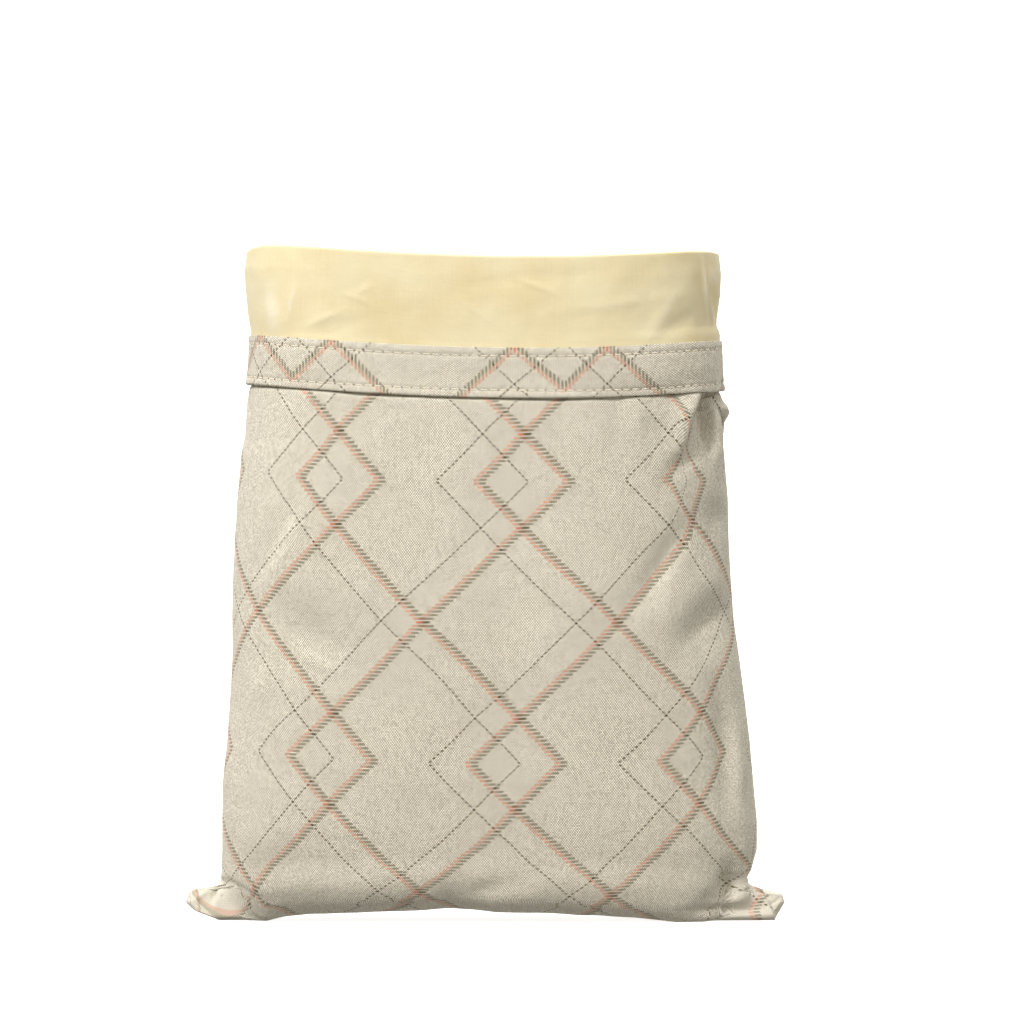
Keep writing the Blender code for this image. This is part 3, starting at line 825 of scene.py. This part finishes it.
# How the filling strains the cloth, and its print with it: bells of the print's shift across and up.
STRAIN_ACROSS = table(
    Fold,
    (-80, 222, 0, 26, 20, -1.9),
    (54, 146, 0, 32, 26, -1.9),
    (84, 79, 0, 18, 16, -1.6),
    (52, 12, 0, 20, 38, -3),
    (-42, 12, 0, 16, 24, -1.1),
    (-40, 147, 0, 20, 22, 1.3),
    (-98, 93, 0, 13, 13, 2.6),
    (-5, 100, 0, 12, 14, 1.3),
    (89, 204, 0, 20, 12, -2.2),
    (104, 209, 0, 15, 6.5, -4.8),
    (116, 148, 0, 22, 10, -3.2),
    (122, 70, 0, 45, 9, -2.2),
    (128, 30, 0, 14, 12, -10),
    (130, 6, 0, 12, 16, 2),
)
STRAIN_UP = table(
    Fold,
    (75, 112, 0, 70, 26, 0.9),
    (115, 110, 0, 60, 10, -2),
    (-110, 110, 0, 60, 11, -1.1),
    (50, 10, 0, 14, 34, 1.6),
    (-40, 14, 0, 14, 26, -0.9),
    (-111, 6, 0, 13, 10, 9.5),
    (-126, 8, 0, 14, 12, -3.8),
    (101, 191, 0, 12, 10, -3),
    (10, 238, 0, 14, 110, -0.9),
    (-62, 205, 0, 18, 16, 0.8),
)


def print_drift(x, height):
    """How far the print lies off a flat fit of the cloth, across and up, as its filling strains it.

    Across, it swings by bells at two heights and drifts by parabolas at both sides, and the pleat swallows a
    strip, whose edge widens downwards as the pleat opens out. Upwards, it bends by a parabola about the
    middle and a bell at the base, and on the left ear it turns up by a parabola. The strains come on top.
    """
    across = 1.0 + 3.0 * bell(height - 65.0, 38.0) + 2.0 * bell(height - 240.0, 14.0)
    across = across - LEFT_CURVE * np.minimum(x - LEFT_CURVE_STARTS, 0.0) ** 2
    off_base = smooth((height - 12.0) / 24.0)
    across = across + RIGHT_CURVE * np.maximum(x - RIGHT_CURVE_STARTS, 0.0) ** 2 * off_base
    opened = TUCK_NARROW + TUCK_WIDENS * (1 - smooth((height - 208.0) / 28.0))
    past = x - np.where(height > PLEAT_LINE[0].height, column(PLEAT_LINE, height, "x"), TUCK_LOW)
    across = across + TUCK_TAKES * smooth((height - 178.0) / 34.0) * smooth((past + 0.5) / opened)
    up = -3.6 * ((x - 12.0) / 100.0) ** 2 - 6.0 * bell(height, 22.0)
    past = np.maximum(EAR_CURVE_STARTS - x, 0.0)
    up = up + 0.2 - EAR_CURVE * past**2 * smooth((20.0 - height) / 6.0)
    return across + fold_rise(STRAIN_ACROSS, x, height), up + fold_rise(STRAIN_UP, x, height)


linen_material = linen_finish("printed_linen")


def linen_panel(side):
    """One printed panel: up from the bottom seam, over the rim and down inside the cuff."""
    up = rows_up(BASE_LEVELS, *LINEN_ROWS_UP)
    rows = LINEN_ROWS_ROUND, LINEN_ROWS_DOWN
    level, offset, rising = over_the_rim(up, -LINEN_THICK / 2, TURNED_CENTRE, TURNED_RADIUS, *rows)
    points, normals = skin_and_normals(level, side)
    x, height = points[..., 0], points[..., 2]
    middle = off_skin(points, normals, offset + linen_relief(side, points, level) * rising)
    middle[0, :, 1] = 0.0
    middle[0, :, 2] = points[0, :, 2] + LINEN_THICK / 2
    uv = cloth_uv(middle, points, int(np.argmin(np.abs(up - PRINT_FITS))))
    uv[..., 1] -= PRINT_ROW * MM
    uv[..., 0] -= PRINT_LEAN * uv[..., 1] + PRINT_COLUMN * MM
    if side == "front":
        uv += np.stack(print_drift(middle[..., 0], middle[..., 2]), axis=-1) * MM
    else:
        uv[..., 0] = BACK_PRINT * MM - uv[..., 0]
    middle[..., 1] = np.maximum(middle[..., 1] + fold_rise(SEAM_PUCKERS[side], x, height) * rising, 0.0)
    calm = EAR_CALM * smooth((np.abs(x) - CALM_FROM) / CALM_WIDE) * smooth((CALM_TOP - height) / CALM_HIGH)
    sheet = make_sheet(f"linen_{side}_cloth", middle, LINEN_THICK, side, {"cloth": uv}, calm)
    sheet.data.materials.append(linen_material)
    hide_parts(f"linen_{side}")


linen_panel("front")
linen_panel("back")

# ---------------------------------------------------------------------------------------------------------
# The lining: a fine cotton coated with wax, pale yellow. It hangs inside the linen, turns over the rim round
# it, and lies outside as the cuff. Handling has left soft creases in it, whitish where the wax has cracked.

LINING_THICK = 0.3
LINING_INSIDE = -0.95  # offset of its middle inside the linen at the neck
LINING_OUTSIDE = 1.36  # and outside, as the cuff
LINING_HANGS = 3.6  # extra air behind the linen below the neck
LINING_DEEPEST = -0.42  # of its creases, which stay clear of the linen under them
LINING_CORNER = 17.0  # its bottom corners stop this far short of the body's
LINING_CORNER_ENDS = 38.0
LINING_HANG_ENDS, LINING_HANG_FADES = 250.0, 8.0
LINING_ROWS_UP = ((240.0, 60), (RIM_LEVEL, 38))
LINING_ROWS_ROUND, LINING_ROWS_DOWN = 13, 56
CREASES_START, CREASES_FADE = 262.0, 14.0  # level of the lowest creases, under the casing

CUFF_CREASES = {
    "front": table(
        Fold,
        (-91, 296, 12, 11, 1.6, 0.7),
        (-84, 292, 18, 12, 3.6, -0.6),
        (-100, 292, -8, 16, 4, 0.8),
        (-76, 287.5, 66, 8, 1.2, 0.6),
        (-70, 283, 72, 12, 3.2, -0.5),
        (-57, 301, 60, 4.5, 0.9, 0.5),
        (-60, 296.5, -70, 6, 1, 0.4),
        (24, 302.5, -68, 8, 1.1, 0.5),
        (20, 306, 85, 34, 3.6, -0.4),
        (-4, 290, -55, 9, 1.1, 0.35),
        (60, 294, 82, 26, 2.6, 0.4),
        (74, 299, -6, 18, 5, -0.7),
        (84, 290, 30, 15, 3.4, 0.6),
        (92, 286, 48, 10, 2.6, -0.6),
        (103.4, 300, -3, 17, 1, 0.8),
        (106.6, 290, -8, 10, 1, 0.7),
        (107, 308, 10, 6, 3, 0.7),
    ),
    "back": table(
        Fold,
        (-88, 296, 10, 14, 2, 0.7),
        (-60, 290, -62, 14, 1.6, 0.5),
        (-20, 303, 84, 26, 3, -0.5),
        (16, 292, 50, 9, 1.1, 0.5),
        (58, 298, -74, 18, 2, 0.5),
        (90, 294, -10, 16, 1.6, 0.8),
        (100, 300, 6, 14, 3.2, -0.7),
    ),
}
BEHIND_PLEAT = [Fold(107, 240, 0, 26, 16, -4.5)]  # the pleat pushes the lining in behind it

WAX_YELLOW = linear(230, 221, 185)
WAX_DEEP = linear(222, 207, 162)
WAX_WHITE = linear(240, 236, 219)
LINING_THREAD = 0.00042


def lining_finish():
    """Waxed cotton: mottled yellow, faint threads, a soft gloss, and pale bloom where the creases are."""
    finish = Finish(bpy.data.materials.new("waxed_lining"))
    place, u, v = finish.flat_place("cloth")
    bloom = finish.marked()
    mottle = finish.noise(place, 26.0, 3.0)
    long_threads = finish.noise(place, 1.0, 2.0, (1500.0, 50.0, 1.0))
    cross_threads = finish.noise(place, 1.0, 2.0, (50.0, 1500.0, 1.0))
    fine = finish.noise(place, 420.0, 3.0)
    tone = 0.28 + (mottle - 0.5) * 2.2 + (long_threads - 0.5) * 0.5 + (cross_threads - 0.5) * 0.5
    colour = finish.mix(tone.ramp(-0.2, 1.0), WAX_YELLOW, WAX_DEEP)
    colour = finish.mix((bloom * (0.4 + fine)).ramp(0.15, 1.1), colour, WAX_WHITE)
    weave = abs((u / LINING_THREAD * np.pi).sine()) + abs((v / LINING_THREAD * np.pi).sine())
    finish.feed(finish.shader, {
        "Base Color": colour,
        "Roughness": 0.6 + (mottle - 0.5) * 0.2,
        "Specular IOR Level": 0.2,
        "Normal": finish.bump(weave * 0.3 + fine * 2.0 + mottle * 3.0, 0.35, 0.0002),
    })
    return finish.owner


lining_material = lining_finish()


def lining_panel(side):
    """One lining panel: up inside the linen from its own bottom seam, over the rim, and down as the cuff."""
    up = rows_up(BASE_LEVELS[::2], *LINING_ROWS_UP)
    centre, radius = (LINING_INSIDE + LINING_OUTSIDE) / 2, (LINING_OUTSIDE - LINING_INSIDE) / 2
    rows = LINING_ROWS_ROUND, LINING_ROWS_DOWN
    level, offset, rising = over_the_rim(up, LINING_INSIDE, centre, radius, *rows)
    hang = LINING_HANGS * (1 - smooth((level - LINING_HANG_ENDS) / LINING_HANG_FADES)) * rising
    corner = LINING_CORNER * (1 - smooth(level / LINING_CORNER_ENDS))
    points, normals = skin_and_normals(level, side, hang, corner)
    x, out, height = np.moveaxis(points, -1, 0)
    creases = fold_rise(CUFF_CREASES[side], x, height) * smooth((level - CREASES_START) / CREASES_FADE)
    fine = creases + 0.16 * waves(x, height, 11, 26.0) + 0.10 * waves(x, height, 12, 9.0)
    fine = fine * smooth((out - 0.5) / 4.0) * np.where(level > CREASES_START, 1.0, 0.3)
    fine = fine * (1.0 - 0.65 * rising)
    under_casing = smooth((CASING_TOP + 3.0 - level) / 3.0) * (1 - rising)
    fine = np.maximum(fine * (1 - under_casing), LINING_DEEPEST)
    pressed = np.minimum(linen_relief(side, points, level), 0.0)
    if side == "front":
        pressed = pressed + fold_rise(BEHIND_PLEAT, x, height)
    middle = off_skin(points, normals, offset + fine + pressed * rising)
    middle[0, :, 1] = 0.0
    bloom = np.maximum(creases, 0.0) * 0.9 + 0.4 * np.maximum(waves(x, height, 21, 11.0) - 0.75, 0.0)
    uv = cloth_uv(middle, points, 0)
    sheet = make_sheet(f"lining_{side}_cloth", middle, LINING_THICK, side, {"cloth": uv}, bloom)
    sheet.data.materials.append(lining_material)
    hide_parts(f"lining_{side}")


lining_panel("front")
lining_panel("back")

# ---------------------------------------------------------------------------------------------------------
# The casing: a band of the same linen cut across the grain, so that its print is turned a quarter. Its two
# edges are folded in and topstitched to the lining with cream thread, 4.6 mm to the stitch.

CASING_THICK = 0.55
CASING_OFFSET = 2.1  # of its middle from the skin
CASING_LEVELS = np.linspace(CUFF_END, CASING_TOP, 60)
PUFF, STITCHES_DRAW, EDGES_DROP = 0.26, 0.42, 0.35  # its rise, and what its stitches and edges take off
STANDS_OFF, STANDS_HIGH = 0.7, 9.0  # its lower edge stands off the linen in waves
BAND_JOINT = 110.2  # place of the joint in its front
STITCH_ROWS = (253.2, 269.3)  # levels of the two rows of topstitching
STITCH_PITCH = 4.6
STITCH_LONG = 3.5
STITCH_WIDE = 0.8
STITCH_HIGH = 0.6
STITCH_FIRST = 3.0
STITCH_ENDS = 0.35  # share of its width that a stitch keeps at its ends
STITCH_ARCH, STITCH_AIR = 0.12, 0.02  # how its middle stands up, and its air above the band
HOLE_STARTS = STITCH_FIRST - (STITCH_PITCH - STITCH_LONG) / 2  # a needle hole in each gap
HOLE_LONG, HOLE_HIGH = 0.5, 0.42
# Painted shade: the dark brown of the needle holes stands for the shade inside them.
HOLE_SHADE_BROWN = linear(70, 56, 38)

# Places along the print that fall at these places across the front.
PrintPlace = namedtuple("PrintPlace", "x along")
CASING_PRINT = table(
    PrintPlace,
    (-170, -88),
    (-106.4, -21.9),
    (-90.2, 0),
    (-72.6, 21.9),
    (13.4, 112),
    (37, 133.9),
    (57, 155.8),
    (170, 273),
)
CASING_LOW_PRINT = -27.3  # the print's own place across at the band's lower edge
CASING_PRINT_STRETCH = 1.12


def needle_hole_shade(finish, colour):
    """The cloth's colour with a dark ellipse in each gap between two stitches: painted shade, standing for
    the shade inside the needle holes.
    """
    _, along, level = finish.flat_place("stitching")
    off_row = abs(level - STITCH_ROWS[0] * MM).least(abs(level - STITCH_ROWS[1] * MM))
    off_hole = (along - HOLE_STARTS * MM).wrap(STITCH_PITCH * MM)
    hole_shade = ((off_hole / (HOLE_LONG * MM)).squared() + (off_row / (HOLE_HIGH * MM)).squared()).ramp(1.6, 0.5)
    return finish.mix(hole_shade * 0.8, colour, HOLE_SHADE_BROWN)


# The casing's linen, with the shade of its needle holes painted on.
casing_material = linen_finish("casing_linen", needle_hole_shade)


def casing_band(side):
    """One half of the band, puffed between its stitch rows and its edges.

    Across the front its print follows X, and round the sides the length of the row.
    """
    level = CASING_LEVELS[:, None]
    points, normals = skin_and_normals(level, side)
    x, out, height = np.moveaxis(points, -1, 0)
    drawn = sum(bell(level - row, 0.9) for row in STITCH_ROWS)
    pulled = 1 + 0.5 * np.cos(2 * np.pi * x / STITCH_PITCH)
    edge = bell(level - CASING_TOP, 1.2) + 0.5 * bell(level - CUFF_END, 0.8)
    puff = PUFF - STITCHES_DRAW * drawn * pulled - EDGES_DROP * edge + 0.10 * waves(x, height, 31, 14.0)
    stand = STANDS_OFF * smooth((CUFF_END + STANDS_HIGH - level) / STANDS_HIGH)
    stand = stand * (0.6 + 0.5 * np.sin(x / 12.0 - 1.35))
    seam = -0.5 * bell(x - BAND_JOINT, 0.5) if side == "front" else 0.0
    middle = off_skin(points, normals, CASING_OFFSET + (puff + stand + seam) * smooth((out - 0.5) / 4.0))
    thickness = CASING_THICK + 0.35 * bell(level - CUFF_END, 2.2) + 0.2 * bell(level - CASING_TOP, 2.6)
    steps, flat_steps = step_lengths(middle, 1), np.diff(x, axis=1)
    at_side = smooth((np.abs(x[:, 1:]) - 98.0) / 10.0)
    flat_x = summed(flat_steps + (steps - flat_steps) * at_side, 1)
    flat_x += x[:, [MID_COLUMN]] - flat_x[:, [MID_COLUMN]]
    up = CASING_LOW_PRINT + CASING_PRINT_STRETCH * (level - CUFF_END) + np.zeros_like(x)
    sheet = make_sheet(f"casing_{side}_cloth", middle, thickness, side, {
        "cloth": np.stack([up, -column(CASING_PRINT, flat_x, "along")], axis=-1) * MM,
        "stitching": np.stack([summed(steps, 1), level + np.zeros_like(x)], axis=-1) * MM,
    })
    sheet.data.materials.append(casing_material)
    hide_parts(f"casing_{side}")
    return sheet, middle


# The thread's cream, and a darker cream painted as the shade in the grooves between its twisted plies.
THREAD_CREAM, THREAD_GROOVE_SHADE = linear(238, 231, 214), linear(218, 209, 188)


def thread_finish():
    """Cream thread for the topstitching, twisted: slanting stripes of two creams along it, the darker one
    painted shade in the grooves between its plies.
    """
    finish = Finish(bpy.data.materials.new("cream_thread"))
    place = finish.node("ShaderNodeTexCoord", {}, {}, 3)
    stripes = {"Vector": place, "Scale": 900.0}
    twist_shade = finish.node("ShaderNodeTexWave", {"bands_direction": "DIAGONAL"}, stripes, 1)
    colour = finish.mix(twist_shade, THREAD_GROOVE_SHADE, THREAD_CREAM)
    finish.feed(finish.shader, {"Base Color": colour, "Roughness": 0.7})
    return finish.owner


thread_material = thread_finish()


def topstitching(side, middle):
    """Both rows of stitches of one band, as a single piece: each a capsule whose ends dip into the cloth.

    Along a stitch six rings of six points stand on the row of the band's grid, raised by a low parabola. A
    ring is an ellipse across the row, and narrows towards both ends by the root of a parabola.
    """
    normals = grid_normals(middle)
    along = np.linspace(0.0, 1.0, 6)
    ring = np.linspace(0.0, 2 * np.pi, 6, endpoint=False)
    places = []
    for row_level in STITCH_ROWS:
        row = int(np.argmin(np.abs(CASING_LEVELS - row_level)))
        length = summed(step_lengths(middle[row], 0), 0)
        starts = np.arange(STITCH_FIRST, length[-1] - STITCH_LONG - 2.0, STITCH_PITCH)
        at = starts[:, None] + along * STITCH_LONG
        path = np.concatenate([middle[row], normals[row]], axis=-1)
        places.append(np.stack([np.interp(at, length, path[:, axis]) for axis in range(6)], axis=-1))
    centre, normal = np.split(np.concatenate(places), 2, axis=-1)
    ahead = centre[:, -1:] - centre[:, :1]
    beside = np.cross(normal, ahead / np.linalg.norm(ahead, axis=-1, keepdims=True))
    from_middle = ((2 * along - 1) ** 2)[:, None, None]
    wide = STITCH_WIDE / 2 * np.cos(ring)[:, None] * beside[:, :, None]
    high = STITCH_HIGH / 2 * np.sin(ring)[:, None] * normal[:, :, None]
    arch = (CASING_THICK / 2 + STITCH_AIR + STITCH_ARCH * (1 - from_middle)) * normal[:, :, None]
    full = STITCH_ENDS + (1 - STITCH_ENDS) * np.sqrt(1 - from_middle * 0.96)
    points = centre[:, :, None] + arch + (wide + high) * full
    points[..., 1] = FACING[side] * (points[..., 1] + SEAM_AIR)
    index = np.arange(points[..., 0].size).reshape(points.shape[:3])
    turned = np.roll(index, -1, axis=2)
    sides = np.stack([index[:, :-1], index[:, 1:], turned[:, 1:], turned[:, :-1]], axis=-1).reshape(-1, 4)
    faces = [*sides.tolist(), *index[:, 0].tolist(), *index[:, -1, ::-1].tolist()]
    if side == "front":
        faces = [face[::-1] for face in faces]
    mesh = bpy.data.meshes.new(f"casing_{side}_stitches")
    mesh.from_pydata((points.reshape(-1, 3) * MM).tolist(), [], faces)
    mesh.materials.append(thread_material)
    mesh.shade_smooth()
    stitches = add_object(mesh.name, mesh)
    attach(stitches, "root")
    return stitches


for side in ("front", "back"):
    band, band_middle = casing_band(side)
    stitches = topstitching(side, band_middle)

# ---------------------------------------------------------------------------------------------------------
# The studio: a white floor that curves up behind the bag, a broad soft light from the upper left, a weaker
# one from the right, one on the wall, and an even pale surround that is darker below.

FLOOR_HALF = 9.0
FLOOR_FRONT, FLOOR_BACK = -9.0, 3.4
WALL_TOP, WALL_CURVE = 5.5, 0.8
SURROUND_LOW, SURROUND_HIGH = (0.28, 0.262, 0.232, 1.0), (0.79, 0.755, 0.705, 1.0)

SoftLight = namedtuple("SoftLight", "name place aim size watts colour")
SOFT_LIGHTS = [
    SoftLight("key_light", (-1.35, -1.9, 1.8), (0.0, 0.0, 0.16), 0.9, 64.5, (1.0, 0.958, 0.926)),
    SoftLight("fill_light", (1.9, -2.2, 0.9), (0.0, 0.0, 0.15), 1.6, 9.0, (1.0, 0.965, 0.92)),
    SoftLight("wall_light", (0.0, 0.6, 3.2), (0.0, 2.4, 1.0), 2.0, 90.0, (1.0, 1.0, 1.0)),
]


def studio_floor():
    """A sheet carried along X, whose profile is flat, then a quarter circle, then upright."""
    angle = np.linspace(0, np.pi / 2, 17)
    profile = np.concatenate([
        [[FLOOR_FRONT, 0.0]],
        np.stack([FLOOR_BACK + WALL_CURVE * np.sin(angle), WALL_CURVE * (1 - np.cos(angle))], axis=-1),
        [[FLOOR_BACK + WALL_CURVE, WALL_TOP]],
    ])
    ends = [[x, y, z] for x in (-FLOOR_HALF, FLOOR_HALF) for y, z in profile]
    count = len(profile)
    faces = [[i, count + i, count + i + 1, i + 1] for i in range(count - 1)]
    mesh = bpy.data.meshes.new("studio_floor")
    mesh.from_pydata(ends, [], faces)
    mesh.shade_smooth()
    finish = Finish(bpy.data.materials.new("studio_white"))
    finish.feed(finish.shader, {
        "Base Color": (0.9, 0.9, 0.9, 1.0),
        "Roughness": 1.0,
        "Specular IOR Level": 0.0,
        "Emission Color": (1.0, 1.0, 1.0, 1.0),
        "Emission Strength": 0.8,
    })
    mesh.materials.append(finish.owner)
    floor = add_object("studio_floor", mesh)
    floor.visible_diffuse = False


def surround():
    """The world's light: its colour goes from the low one to the high one with the direction's Z."""
    finish = Finish(bpy.data.worlds.new("surround"), "Background")
    direction = finish.node("ShaderNodeTexCoord", {}, {})
    upward = finish.node("ShaderNodeSeparateXYZ", {}, {0: direction}, 2)
    high = finish.node("ShaderNodeMapRange", {}, {"Value": upward, "From Min": -0.35, "From Max": 0.6})
    finish.feed(finish.shader, {"Color": finish.mix(high, SURROUND_LOW, SURROUND_HIGH)})
    bpy.context.scene.world = finish.owner


studio_floor()
for light in SOFT_LIGHTS:
    box = bpy.data.lights.new(light.name, "AREA")
    box.shape, box.size = "SQUARE", light.size
    box.energy, box.color = light.watts, light.colour
    lamp = add_object(light.name, box)
    lamp.location = light.place
    lamp.rotation_euler = (Vector(light.aim) - Vector(light.place)).to_track_quat("-Z", "Y").to_euler()
surround()
bpy.context.scene.view_settings.view_transform = "Standard"
